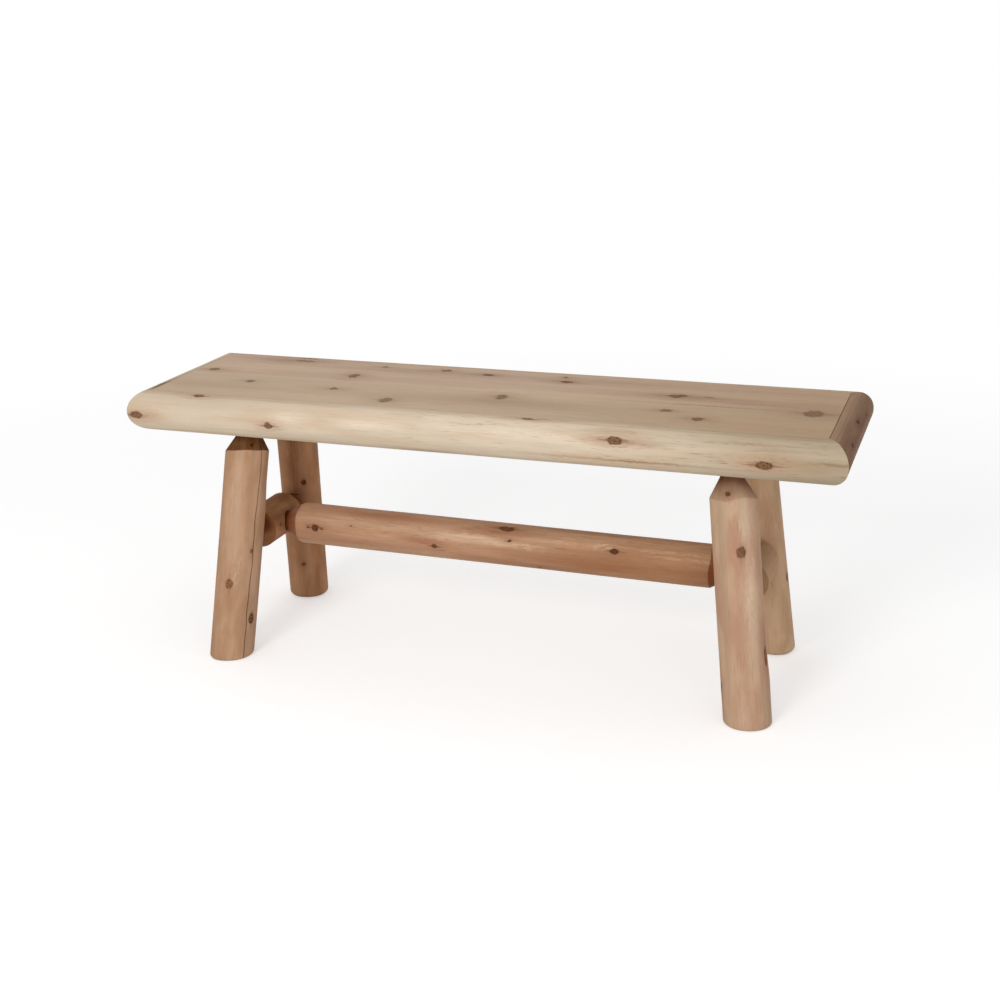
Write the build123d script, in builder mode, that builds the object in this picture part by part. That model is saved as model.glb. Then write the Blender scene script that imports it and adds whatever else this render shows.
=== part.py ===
from build123d import *
import math
import os

os.makedirs("parts", exist_ok=True)

# Rustic log bench, in millimetres, +Z up. The origin is on the floor under the middle of the seat,
# the seat runs along X and its front edge faces -Y.

# Seat
seat_length = 1220
seat_depth = 344
seat_height = 477.5
plank_thickness = 36
plank_ease = 1.2

# Rails: slabs sawn from round logs, flat on top and on the inner face
rail_radius = 37.3
rail_crown = 34.3        # from the middle of the log up to the sawn top
rail_width = 34          # from the roundest line of the log in to the sawn inner face

# Bearers under the planks
bearer_thickness = 38
bearer_width = 110
bearer_end_wall = 20     # wood left beyond the leg's tenon

# Legs
leg_radius = 38
foot_rounding = 9
head_inset = 187         # from the seat's end to the leg's axis, at the bearer's underside
head_setback = 86.4      # from the seat's long edge to the same point
tenon_show = 13          # bare tenon between the leg's taper and the bearer
foot_spread = {          # how far each foot stands out from its head, along and across the seat
    "front_left": (35, 65.7),
    "front_right": (47, 58.4),
    "back_left": (30, 65.7),
    "back_right": (42, 60.4),
}

# Stretchers
end_stretcher_radius = 36.5
long_stretcher_radius = 37.3
left_stretcher_height = 206
right_stretcher_height = 202
stretcher_tenon_depth = 42
shoulder_sink = 1.5      # how far each stretcher's coned shoulder beds into its mate

# Every log end is cut with the same tenon cutter
tenon_radius = 19
taper_angle = 30
tenon_ease = 2
socket_clearance = 0.15
joint_gap = 0.3

# Hidden fixings
dowel_radius = 5
dowel_length = 34
dowel_spacing = 430
mitre_dowel_length = 26
bore_clearance = 0.1
screw_shank_radius = 2.4
screw_head_radius = 4.6
screw_head_angle = 82
screw_tip = 6
bearer_screw_length = 63
bearer_screw_edge = 18   # from the bearer's long edge
bearer_screw_spread = 80
tenon_screw_length = 64

# Levels and half sizes that follow from the sizes above
half_length = seat_length / 2
half_depth = seat_depth / 2
bearer_top = seat_height - plank_thickness
bearer_bottom = bearer_top - bearer_thickness
plank_length = seat_length - 2 * (rail_width + joint_gap)
plank_width = (seat_depth - 2 * rail_width - 3 * joint_gap) / 2
plank_offset = (plank_width + joint_gap) / 2
head_x = half_length - head_inset
head_y = half_depth - head_setback
bearer_length = 2 * (head_y + tenon_radius + bearer_end_wall)
taper_slope = math.tan(math.radians(taper_angle))
dowel_level = seat_height - plank_thickness / 2


def save(piece, name):
    piece.part.label = name
    export_step(piece.part, f"parts/{name}.step")


def profile_plane(axis_frame):
    """The plane through an axis frame's own axis, with the axis upward in the sketch."""
    return Plane(origin=axis_frame.origin, x_dir=axis_frame.x_dir, z_dir=-axis_frame.y_dir)


def turn_profile(axis_frame, points):
    """Face between the axis and a line of (radius, distance along the axis) points."""
    with BuildSketch(profile_plane(axis_frame)) as profile:
        with BuildLine():
            Polyline(*points, close=True)
        make_face()
    return profile.sketch


def bore(frame, radius, start, length):
    """Cut a round hole along a frame's axis in the piece being built."""
    with Locations(frame.offset(start)):
        Cylinder(
            radius, length, align=(Align.CENTER, Align.CENTER, Align.MIN), mode=Mode.SUBTRACT
        )


def bore_dowel(frame, length):
    bore(frame, dowel_radius + bore_clearance, -length / 2 - bore_clearance, length + 2 * bore_clearance)


def taper_length(log_radius):
    return (log_radius - tenon_radius) / taper_slope


def socket_profile(socket_frame, mate_radius):
    """Half outline of a blind socket, measured out from the mate's axis, flared for the shoulder."""
    bottom = mate_radius - stretcher_tenon_depth - joint_gap
    shoulder = mate_radius - shoulder_sink
    mouth = shoulder + mate_radius
    socket_radius = tenon_radius + socket_clearance
    return turn_profile(
        socket_frame,
        [
            (0, bottom),
            (socket_radius, bottom),
            (socket_radius, shoulder),
            (socket_radius + mate_radius * taper_slope, mouth),
            (0, mouth),
        ],
    )


# Leg axes: each runs from its foot on the floor up through its head at the bearer's underside
head = {}
foot = {}
leg_axis = {}
for name, (spread_x, spread_y) in foot_spread.items():
    side_x = -1 if name.endswith("left") else 1
    side_y = -1 if name.startswith("front") else 1
    head[name] = Vector(side_x * head_x, side_y * head_y, bearer_bottom)
    foot[name] = Vector(side_x * (head_x + spread_x), side_y * (head_y + spread_y), 0)
    leg_axis[name] = Plane(origin=foot[name], z_dir=head[name] - foot[name])


def point_on_leg(name, height):
    return foot[name] + (head[name] - foot[name]) * (height / bearer_bottom)


# Stretcher axes: the end ones run from the front leg's axis to the back leg's, and the long one
# from the middle of the left end stretcher to the middle of the right one
end_axis = {}
end_span = {}
end_middle = {}
leg_socket = {}
for side, height in (("left", left_stretcher_height), ("right", right_stretcher_height)):
    front_point = point_on_leg(f"front_{side}", height)
    back_point = point_on_leg(f"back_{side}", height)
    end_axis[side] = Plane(origin=front_point, z_dir=back_point - front_point)
    end_span[side] = (back_point - front_point).length
    end_middle[side] = (front_point + back_point) / 2
    leg_socket[f"front_{side}"] = end_axis[side]
    leg_socket[f"back_{side}"] = Plane(origin=back_point, z_dir=front_point - back_point)
long_axis = Plane(origin=end_middle["left"], z_dir=end_middle["right"] - end_middle["left"])
long_span = (end_middle["right"] - end_middle["left"]).length
end_socket = {
    "left": long_axis,
    "right": Plane(origin=end_middle["right"], z_dir=end_middle["left"] - end_middle["right"]),
}

# Screws up through each bearer into the planks, and one through its edge into each leg's tenon.
# A screw's frame sits on its head, with its axis pointing back out of the wood.
bearer_screws = {}
tenon_screw = {}
for side, side_x in (("left", -1), ("right", 1)):
    under_bearer = Plane(
        origin=(side_x * head_x, 0, bearer_bottom), x_dir=(1, 0, 0), z_dir=(0, 0, -1)
    )
    screw_grid = GridLocations(bearer_width - 2 * bearer_screw_edge, bearer_screw_spread, 2, 2)
    bearer_screws[side] = [Plane(under_bearer.location * spot) for spot in screw_grid.local_locations]
    for end in ("front", "back"):
        target = point_on_leg(f"{end}_{side}", bearer_bottom + bearer_thickness / 2)
        edge_x = side_x * (head_x - bearer_width / 2)
        tenon_screw[f"{end}_{side}"] = Plane(
            origin=(edge_x, target.Y, target.Z), x_dir=(0, 1, 0), z_dir=(-side_x, 0, 0)
        )

# Each side of the seat has a frame at its outer corner: x points in, y up and z along the rail
rail_frame = {
    "front": Plane(origin=(-half_length, -half_depth, seat_height), x_dir=(0, 1, 0), z_dir=(1, 0, 0)),
    "right": Plane(origin=(half_length, -half_depth, seat_height), x_dir=(-1, 0, 0), z_dir=(0, 1, 0)),
    "back": Plane(origin=(half_length, half_depth, seat_height), x_dir=(0, -1, 0), z_dir=(-1, 0, 0)),
    "left": Plane(origin=(-half_length, half_depth, seat_height), x_dir=(1, 0, 0), z_dir=(0, -1, 0)),
}
rail_length = {"front": seat_length, "right": seat_depth, "back": seat_length, "left": seat_depth}
rail_name = {
    "front": "front_rail",
    "right": "right_end_rail",
    "back": "back_rail",
    "left": "left_end_rail",
}
corner_after = {"front": "right", "right": "back", "back": "left", "left": "front"}

# Dowels across the rail joints, the plank joint and the mitres
rail_dowels = {}
mitre_dowel = {}
for side, frame in rail_frame.items():
    middle = rail_length[side] / 2
    if side in ("front", "back"):
        stations = [middle - dowel_spacing, middle, middle + dowel_spacing]
    else:
        stations = [middle - plank_offset, middle + plank_offset]
    rail_dowels[side] = [
        Plane(
            origin=frame.from_local_coords(
                Vector(rail_width + joint_gap / 2, -plank_thickness / 2, station)
            ),
            z_dir=frame.x_dir,
        )
        for station in stations
    ]
    mitre_dowel[side] = Plane(
        origin=frame.from_local_coords(Vector(rail_width / 2, -rail_crown, rail_width / 2)),
        z_dir=frame.z_dir - frame.x_dir,
    )
plank_dowels = [
    Plane(origin=(station, 0, dowel_level), z_dir=(0, 1, 0))
    for station in (-dowel_spacing, 0, dowel_spacing)
]

# Rails, mitred where they meet
for side, frame in rail_frame.items():
    length = rail_length[side]
    with BuildPart() as rail:
        with BuildSketch(frame):
            with Locations((rail_radius, -rail_crown)):
                Circle(rail_radius)
            Rectangle(
                rail_width, 2 * rail_radius, align=(Align.MIN, Align.MAX), mode=Mode.INTERSECT
            )
        extrude(amount=length)
        start_mitre = Plane(origin=frame.origin, z_dir=frame.z_dir - frame.x_dir)
        end_corner = frame.origin + frame.z_dir * length
        end_mitre = Plane(origin=end_corner, z_dir=-frame.z_dir - frame.x_dir)
        split(bisect_by=start_mitre.offset(joint_gap / 2), keep=Keep.TOP)
        split(bisect_by=end_mitre.offset(joint_gap / 2), keep=Keep.TOP)
        for dowel_frame in rail_dowels[side]:
            bore_dowel(dowel_frame, dowel_length)
        for dowel_frame in (mitre_dowel[side], mitre_dowel[corner_after[side]]):
            bore_dowel(dowel_frame, mitre_dowel_length)
    save(rail, rail_name[side])

# Planks, side by side inside the rails
for side, side_y in (("front", -1), ("back", 1)):
    with BuildPart() as plank:
        with BuildSketch(Plane.XY.offset(bearer_top)):
            with Locations((0, side_y * plank_offset)):
                Rectangle(plank_length, plank_width)
        extrude(amount=plank_thickness)
        chamfer(plank.edges().group_by(Axis.Z)[-1], plank_ease)
        for dowel_frame in rail_dowels[side] + plank_dowels + rail_dowels["left"] + rail_dowels["right"]:
            bore_dowel(dowel_frame, dowel_length)
        for frame in bearer_screws["left"] + bearer_screws["right"]:
            bore(
                frame,
                screw_shank_radius + bore_clearance,
                -bearer_screw_length - bore_clearance,
                bearer_screw_length,
            )
    save(plank, f"{side}_plank")

# Bearers, bored through for the legs' tenons
for side, side_x in (("left", -1), ("right", 1)):
    with BuildPart() as bearer:
        with BuildSketch(Plane.XY.offset(bearer_bottom)):
            with Locations((side_x * head_x, 0)):
                Rectangle(bearer_width, bearer_length)
        extrude(amount=bearer_thickness - joint_gap)
        for end in ("front", "back"):
            axis_frame = leg_axis[f"{end}_{side}"]
            head_distance = (head[f"{end}_{side}"] - foot[f"{end}_{side}"]).length
            bore(
                axis_frame,
                tenon_radius + socket_clearance,
                head_distance - tenon_radius,
                bearer_thickness + 2 * tenon_radius,
            )
        with Locations(*[frame.location for frame in bearer_screws[side]]):
            CounterSinkHole(
                screw_shank_radius + bore_clearance,
                screw_head_radius + bore_clearance,
                depth=bearer_thickness,
                counter_sink_angle=screw_head_angle,
            )
        with Locations(*[tenon_screw[f"{end}_{side}"].location for end in ("front", "back")]):
            CounterSinkHole(
                screw_shank_radius + bore_clearance,
                screw_head_radius + bore_clearance,
                depth=tenon_screw_length + bore_clearance,
                counter_sink_angle=screw_head_angle,
            )
    save(bearer, f"{side}_bearer")

# Legs: a straight log with a coned tenon on top, its foot cut level with the floor and rounded
for name, axis_frame in leg_axis.items():
    axis_vector = head[name] - foot[name]
    lean = math.acos(bearer_bottom / axis_vector.length)
    shoulder = axis_vector.length - tenon_show
    taper_start = shoulder - taper_length(leg_radius)
    tip_height = bearer_thickness - joint_gap - tenon_radius * math.sin(lean)
    tip = axis_vector.length + tip_height / math.cos(lean)
    below_floor = -leg_radius * math.tan(lean) - foot_rounding
    with BuildPart() as leg:
        add(
            turn_profile(
                axis_frame,
                [
                    (0, below_floor),
                    (leg_radius, below_floor),
                    (leg_radius, taper_start),
                    (tenon_radius, shoulder),
                    (tenon_radius, tip - tenon_ease),
                    (tenon_radius - tenon_ease, tip),
                    (0, tip),
                ],
            )
        )
        revolve(axis=Axis(axis_frame.origin, axis_frame.z_dir))
        split(bisect_by=Plane.XY, keep=Keep.TOP)
        fillet(leg.edges().group_by(Axis.Z)[0], foot_rounding)
        add(socket_profile(leg_socket[name], leg_radius))
        revolve(
            axis=Axis(leg_socket[name].origin, leg_socket[name].z_dir), mode=Mode.SUBTRACT
        )
        bore(
            tenon_screw[name],
            screw_shank_radius + bore_clearance,
            -tenon_screw_length - bore_clearance,
            tenon_screw_length,
        )
    save(leg, f"{name}_leg")


def stretcher_points(radius, mate_radius, span):
    """Half outline of a log between two mates: coned tenons reach into both."""
    tip = mate_radius - stretcher_tenon_depth
    shoulder = mate_radius - shoulder_sink
    body = shoulder + taper_length(radius)
    return [
        (0, tip),
        (tenon_radius - tenon_ease, tip),
        (tenon_radius, tip + tenon_ease),
        (tenon_radius, shoulder),
        (radius, body),
        (radius, span - body),
        (tenon_radius, span - shoulder),
        (tenon_radius, span - tip - tenon_ease),
        (tenon_radius - tenon_ease, span - tip),
        (0, span - tip),
    ]


# End stretchers, each bored from the inner side for the long stretcher's tenon
for side, axis_frame in end_axis.items():
    with BuildPart() as end_stretcher:
        add(turn_profile(axis_frame, stretcher_points(end_stretcher_radius, leg_radius, end_span[side])))
        revolve(axis=Axis(axis_frame.origin, axis_frame.z_dir))
        add(socket_profile(end_socket[side], end_stretcher_radius))
        revolve(
            axis=Axis(end_socket[side].origin, end_socket[side].z_dir), mode=Mode.SUBTRACT
        )
    save(end_stretcher, f"{side}_end_stretcher")

with BuildPart() as long_stretcher:
    add(turn_profile(long_axis, stretcher_points(long_stretcher_radius, end_stretcher_radius, long_span)))
    revolve(axis=Axis(long_axis.origin, long_axis.z_dir))
save(long_stretcher, "long_stretcher")

# Countersunk screws
head_depth = (screw_head_radius - screw_shank_radius) / math.tan(math.radians(screw_head_angle / 2))
screw_groups = {f"{side}_bearer_screws": (frames, bearer_screw_length) for side, frames in bearer_screws.items()}
for name, frame in tenon_screw.items():
    screw_groups[f"{name}_tenon_screw"] = ([frame], tenon_screw_length)
for name, (frames, length) in screw_groups.items():
    with BuildPart() as screws:
        for frame in frames:
            add(
                turn_profile(
                    frame,
                    [
                        (0, 0),
                        (screw_head_radius, 0),
                        (screw_shank_radius, -head_depth),
                        (screw_shank_radius, screw_tip - length),
                        (0, -length),
                    ],
                )
            )
            revolve(axis=Axis(frame.origin, frame.z_dir))
    save(screws, name)

# Dowels
dowel_groups = {f"{rail_name[side]}_dowels": (frames, dowel_length) for side, frames in rail_dowels.items()}
dowel_groups["plank_dowels"] = (plank_dowels, dowel_length)
dowel_groups["mitre_dowels"] = (list(mitre_dowel.values()), mitre_dowel_length)
for name, (frames, length) in dowel_groups.items():
    with BuildPart() as dowels:
        with Locations(*[frame.location for frame in frames]):
            Cylinder(dowel_radius, length)
    save(dowels, name)
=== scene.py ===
import math
import bpy
import numpy as np
from mathutils import Matrix, Vector


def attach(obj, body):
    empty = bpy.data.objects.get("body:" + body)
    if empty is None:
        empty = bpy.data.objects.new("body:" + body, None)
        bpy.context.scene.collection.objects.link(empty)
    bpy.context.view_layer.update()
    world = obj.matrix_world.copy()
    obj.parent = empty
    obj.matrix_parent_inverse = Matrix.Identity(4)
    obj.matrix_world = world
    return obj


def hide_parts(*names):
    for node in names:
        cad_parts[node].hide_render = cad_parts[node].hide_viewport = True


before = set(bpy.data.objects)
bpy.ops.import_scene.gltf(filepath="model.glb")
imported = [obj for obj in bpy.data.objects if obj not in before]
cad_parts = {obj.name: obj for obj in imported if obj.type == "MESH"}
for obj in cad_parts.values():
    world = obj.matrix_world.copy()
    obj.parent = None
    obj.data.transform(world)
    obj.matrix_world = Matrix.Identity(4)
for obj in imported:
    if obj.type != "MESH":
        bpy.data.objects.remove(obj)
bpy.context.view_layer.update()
print("frame loaded,", len(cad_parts), "nodes")

mm = 0.001                       # shapes are worked out in millimetres and scaled once

# The bench's own sizes, as it was built
bench = {
    "halfLength": 610,
    "halfDepth": 172,
    "seatTop": 477.5,
    "plankThickness": 36,
    "railWidth": 34,
    "railRadius": 37.3,
    "railCrown": 34.3,           # middle of the rail's log up to the sawn top
    "bearerUnderside": 403.5,
    "headX": 423,                # the legs' axes where they meet the bearers
    "headY": 85.6,
    "tenonShow": 13,             # bare tenon between a leg's cone and the bearer
    "tenonRadius": 19,
    "tenonEase": 2,
    "tenonInBearer": 22,
    "tenonInLog": 30,
    "taperAngle": 30,
    "legRadius": 38,
    "shoulderSink": 1.5,         # how far a stretcher's cone beds into its mate
    "jointGap": 0.16,
}

# How finely the meshes are made
fineness = {"around": 96, "spacing": 4, "sharpAngle": 21, "coneSteps": 14, "footSteps": 8}
capRings = (0.82, 0.6, 0.35, 0.15)
xAxis, yAxis, zAxis = np.eye(3)
scene = bpy.context.scene


def unit(vector):
    vector = np.array(vector, float)
    return vector / np.linalg.norm(vector)


def logAxes(start, end, facing):
    # three directions: facing (0 degrees), a quarter turn on, and along the log
    along = unit(np.subtract(end, start))
    face = np.array(facing, float)
    face = unit(face - along * (face @ along))
    return face, np.cross(along, face), along


def smoothStep(low, high, value):
    t = np.clip((value - low) / (high - low), 0, 1)
    return t * t * (3 - 2 * t)


def turnBetween(angle, other):
    return (angle - other + 180) % 360 - 180


def gentleWaves(seed, shortest, longest, turns=3, count=8):
    # a smooth field from 0 to 1 over angle (degrees) and distance along (mm)
    rng = np.random.default_rng(seed)
    repeats = rng.integers(0, turns + 1, count)
    lengths = rng.uniform(shortest, longest, count) * rng.choice([-1, 1], count)
    phases = rng.uniform(0, 2 * math.pi, count)
    strengths = rng.uniform(0.5, 1, count)

    def field(angle, along):
        total = 0
        for repeat, length, phase, strength in zip(repeats, lengths, phases, strengths):
            total = total + strength * np.cos(
                repeat * np.radians(angle) + 2 * math.pi * along / length + phase
            )
        return 0.5 + 0.5 * total / strengths.sum()

    return field


def addObject(name, data):
    made = bpy.data.objects.new(name, data)
    scene.collection.objects.link(made)
    return made


def skin(name, loops, origin, axes, marks=None):
    # closed loops of points skinned into one solid, both ends filled with rings and a fan
    def shrunk(loop):
        middle = loop.mean(axis=0)
        return [middle + (loop - middle) * share for share in capRings], middle

    startRings, startMiddle = shrunk(loops[0])
    endRings, endMiddle = shrunk(loops[-1])
    loops = startRings[::-1] + list(loops) + endRings
    count, size = len(loops), len(loops[0])
    points = np.concatenate(loops + [startMiddle[None], endMiddle[None]])
    row, column = np.meshgrid(np.arange(count - 1), np.arange(size), indexing="ij")
    here, beside = row * size + column, row * size + (column + 1) % size
    quads = np.stack([here, beside, beside + size, here + size], axis=-1).reshape(-1, 4)
    ring = np.arange(size)
    following = (ring + 1) % size
    last = (count - 1) * size
    startFan = np.stack([following, ring, np.full(size, len(points) - 2)], axis=-1)
    endFan = np.stack([last + ring, last + following, np.full(size, len(points) - 1)], axis=-1)
    mesh = bpy.data.meshes.new(name)
    mesh.from_pydata((points * mm).tolist(), [], quads.tolist() + startFan.tolist() + endFan.tolist())
    # the grain's own coordinates: across, across, and along the fibres, in metres
    local = (points - origin) @ np.array(axes).T * mm
    fibre = mesh.attributes.new("fibre", "FLOAT_VECTOR", "POINT")
    fibre.data.foreach_set("vector", local.astype(np.float32).ravel())
    caps = len(capRings)
    for mark, values in (marks or {}).items():   # such as how deep in the log's split a point lies
        spread = np.concatenate([values[:1]] * caps + [values] + [values[-1:]] * caps)
        spread = np.concatenate([spread.ravel(), [values[0].mean(), values[-1].mean()]])
        attribute = mesh.attributes.new(mark, "FLOAT", "POINT")
        attribute.data.foreach_set("value", spread.astype(np.float32))
    first, second, fourth = (points[quads[:, corner]] for corner in (0, 1, 3))
    outward = np.einsum("ij,ij->i", first - points.mean(axis=0), np.cross(second - first, fourth - first))
    if outward.sum() < 0:
        mesh.flip_normals()
    mesh.polygons.foreach_set("use_smooth", np.ones(len(mesh.polygons), bool))
    mesh.set_sharp_from_angle(angle=math.radians(fineness["sharpAngle"]))
    mesh.update()
    return addObject(name, mesh)


def finishPiece(piece, node, material):
    piece.data.materials.append(material)
    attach(piece, "root")
    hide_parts(node)
    return piece


def srgb(red, green, blue):
    def linear(level):
        level /= 255
        return level / 12.92 if level <= 0.04045 else ((level + 0.055) / 1.055) ** 2.4
    return (linear(red), linear(green), linear(blue), 1.0)


def newMaterial(name):
    material = bpy.data.materials.new(name)
    material.use_nodes = True
    return material, material.node_tree


def addNode(tree, kind, inputs=None, **settings):
    made = tree.nodes.new("ShaderNode" + kind)
    for key, value in settings.items():
        setattr(made, key, value)
    for key, value in (inputs or {}).items():
        if isinstance(value, bpy.types.NodeSocket):
            tree.links.new(value, made.inputs[key])
        else:
            made.inputs[key].default_value = value
    return made


def joinNode(kind, inputs, **settings):
    # a node in the same tree as the sockets that feed it
    tree = next(value.id_data for value in inputs.values() if isinstance(value, bpy.types.NodeSocket))
    return addNode(tree, kind, inputs, **settings)


def maths(operation, *values, clamp=False):
    inputs = dict(enumerate(values))
    return joinNode("Math", inputs, operation=operation, use_clamp=clamp).outputs[0]


def times(first, second, clamp=False):
    return maths("MULTIPLY", first, second, clamp=clamp)


def timesPlus(first, second, third, clamp=False):
    return maths("MULTIPLY_ADD", first, second, third, clamp=clamp)


def centred(value):
    return maths("SUBTRACT", value, 0.5)


def bell(distance):
    return maths("EXPONENT", times(times(distance, distance), -1.0))


def vectors(operation, *values):
    made = joinNode("VectorMath", dict(enumerate(values)), operation=operation)
    return made.outputs["Value" if operation in ("LENGTH", "DOT_PRODUCT") else "Vector"]


def scaled(vector, factor):
    return joinNode("VectorMath", {0: vector, "Scale": factor}, operation="SCALE").outputs["Vector"]


def ranged(value, low, high, toLow=0.0, toHigh=1.0, kind="SMOOTHSTEP"):
    inputs = {"Value": value, "From Min": low, "From Max": high, "To Min": toLow, "To Max": toHigh}
    return joinNode("MapRange", inputs, interpolation_type=kind).outputs["Result"]


def blended(share, first, second):
    return joinNode("Mix", {0: share, 6: first, 7: second}, data_type="RGBA").outputs[2]


def noise(place, stretch, detail, roughness, output=0):
    # noise from 0 to 1, with its own stretch along each of the grain's three directions
    inputs = {"Vector": vectors("MULTIPLY", place, stretch), "Scale": 1.0, "Detail": detail,
              "Roughness": roughness}
    return joinNode("TexNoise", inputs).outputs[output]


def lineNoise(value, detail, output=0):
    inputs = {"W": value, "Detail": detail}
    return joinNode("TexNoise", inputs, noise_dimensions="1D").outputs[output]


def drift(colour, reach):
    # a noise colour turned into a step of up to half the reach either way
    return scaled(vectors("SUBTRACT", colour, (0.5, 0.5, 0.5)), reach)


def geometry(tree, output):
    return addNode(tree, "NewGeometry").outputs[output]


def meshMark(tree, name, output="Fac"):
    return addNode(tree, "Attribute", attribute_name=name).outputs[output]


def makeKnotGroup():
    # one knot: a core, a halo drawn out along the grain, and fibres that part round it
    group = bpy.data.node_groups.new("knot", "ShaderNodeTree")
    own = {"Point": "Vector", "Centre": "Vector", "Size": "Vector", "Strength": "Float"}
    carried = {"Nearest": "Float", "Core": "Float", "Halo": "Float", "Tail": "Float", "Bend": "Vector"}
    for direction, sockets in (("INPUT", {**own, **carried}), ("OUTPUT", carried)):
        for label, kind in sockets.items():
            group.interface.new_socket(label, in_out=direction, socket_type="NodeSocket" + kind)
    given = group.nodes.new("NodeGroupInput").outputs
    result = group.nodes.new("NodeGroupOutput").inputs
    strength = given["Strength"]
    offset = vectors("SUBTRACT", given["Point"], given["Centre"])
    inKnots = vectors("MULTIPLY", offset, given["Size"])
    distance = vectors("LENGTH", inKnots)
    halo = times(strength, bell(vectors("LENGTH", vectors("MULTIPLY", inKnots, (0.5, 0.5, 0.25)))))
    # tails: a long thin diamond of dark fibres at both ends of the knot
    sides = vectors("LENGTH", vectors("MULTIPLY", inKnots, (1.15, 1.15, 0.0)))
    ends = vectors("DOT_PRODUCT", vectors("ABSOLUTE", inKnots), (0.0, 0.0, 0.27))
    tail = times(strength, ranged(maths("ADD", sides, ends), 1.05, 0.45))
    part = scaled(vectors("MULTIPLY", offset, (-0.6, -0.6, 0.0)), bell(times(distance, 0.45)))
    core = times(strength, ranged(distance, 1.24, 0.76))
    group.links.new(maths("MINIMUM", given["Nearest"], distance), result["Nearest"])
    for label, value in (("Core", core), ("Halo", halo), ("Tail", tail)):
        group.links.new(maths("MAXIMUM", given[label], value), result[label])
    group.links.new(vectors("ADD", given["Bend"], part), result["Bend"])
    return group


knotGroup = makeKnotGroup()


def chainKnots(point, knots):
    state = {"Nearest": 9.0, "Core": 0.0, "Halo": 0.0, "Tail": 0.0, "Bend": (0.0, 0.0, 0.0)}
    for centre, halfWidth, halfLength, strength in knots:
        size = (1 / halfWidth, 1 / halfWidth, 1 / halfLength)
        inputs = {"Point": point, "Centre": centre, "Size": size, "Strength": strength, **state}
        knot = joinNode("Group", inputs, node_tree=knotGroup)
        state = {key: knot.outputs[key] for key in state}
    return state


# What every cedar finish starts from; each piece changes what differs
cedar = {
    "pale": (206, 178, 146),
    "warm": (186, 150, 120),
    "cool": (188, 160, 130),
    "deep": (128, 90, 62),
    "patch": 0.5,                # how much of the warm colour shows
    "patchSize": (34.0, 34.0, 4.0),
    "coolShare": 0.45,
    "ringWidth": 0.0028,
    "ringStrength": 0.012,
    "heartDrift": 0.004,         # how far the rings' centre wanders
    "streakStrength": 0.2,
    "lineStrength": 0.05,
    "dashStrength": 0.45,
    "dashGrow": None,            # (from, to, least): fewer dashes at one end of the piece
    "fleckStrength": 0.3,
    "fleckLevel": 0.66,
    "haloColour": (176, 126, 96),
    "haloStrength": 0.6,
    "knotColour": (132, 94, 64),
    "knotRim": (80, 50, 32),
    "knotWobble": 1.0,           # how uneven the knots' outlines are
    "knotSpeckle": 4.2,
    "knotRed": 1.0,              # how far the redder knots differ from the others
    "tailStrength": 0.95,        # the dark fibres that run out of both ends of a knot
    "paleAndLitColour": (236, 212, 186),  # pale curls and light bands: pale wood together with painted sheen and painted light
    "tintColour": (160, 118, 88),
    "cutColour": (126, 82, 54),  # where the tenon cutter has been, and the base of the painted shade by the joints; on the front legs' tapers it is darkened as painted shade under the seat
    # painted shade: how much darker the cut wood is made close to a joint and under a socket's shadow
    "paintedShadeTone": (0.46, 0.36, 0.28),
    "splitColour": (52, 32, 20),
    "endTone": 0.66,             # how dark the end grain is
    "sawnColour": None,          # the sawn top of a rail, where it differs from the peeled side
    "fade": None,                # (from, to, red, green, blue): darker along the piece
    "roughness": 0.58,
    "gloss": 0.1,
    "bump": 0.4,
    "seed": 1.0,
}

# The wood's noise fields: stretch across and along the grain, detail, roughness
grainNoise = {
    "outline": (150, 110, 1.5, 0.5),
    "nicks": (520, 420, 1.5, 0.5),
    "ripple": (60, 2.2, 1, 0.5),
    "streak": (300, 12, 3.5, 0.68),
    "fine": (1300, 34, 2, 0.5),
    "broad": (80, 4.5, 2, 0.5),
    "line": (120, 1.6, 1, 0.5),
    "dash": (720, 34, 1.5, 0.5),
    "cool": (60, 3, 2, 0.5),
    "fleck": (190, 9, 3, 0.6),
    "swirl": (70, 40, 2, 0.5),
    "stroke": (360, 38, 2.5, 0.6),
    "mottle": (330, 330, 2.5, 0.6),
    "hue": (16, 11, 2, 0.5),
}
surfaceMarks = ("knots", "sheenFlames", "tints", "lights")


def grainField(kind, place, output=0):
    across, lengthwise, detail, roughness = grainNoise[kind]
    return noise(place, (across, across, lengthwise), detail, roughness, output)


def woodPlace(tree, sawnFrom):
    # the grain's own coordinates: across, across, and along the fibres
    if sawnFrom is None:
        return meshMark(tree, "fibre", "Vector")
    middle, order = sawnFrom     # a piece straight from the frame
    parts = joinNode("SeparateXYZ", {0: vectors("SUBTRACT", geometry(tree, "Position"), middle)})
    inputs = {i: parts.outputs[axis] for i, axis in enumerate(order)}
    return joinNode("CombineXYZ", inputs).outputs[0]


def growthRings(look, bent, grain, lengthwise):
    # rings round a heart that wanders along the log: their late wood, and each year's own tone
    wander = lineNoise(timesPlus(lengthwise, 1.7, look["seed"]), 0.0, "Color")
    heart = drift(wander, look["heartDrift"] * 2)
    across = vectors("LENGTH", vectors("MULTIPLY", vectors("ADD", bent, heart), (1.0, 1.0, 0.0)))
    ripple = centred(grainField("ripple", grain))
    rings = timesPlus(ripple, 0.5, maths("DIVIDE", across, look["ringWidth"]))
    year = maths("FRACT", rings)
    lateWood = times(ranged(year, 0.35, 0.9), ranged(year, 1.0, 0.93))
    return lateWood, lineNoise(times(rings, 0.31), 1.0)


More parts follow.
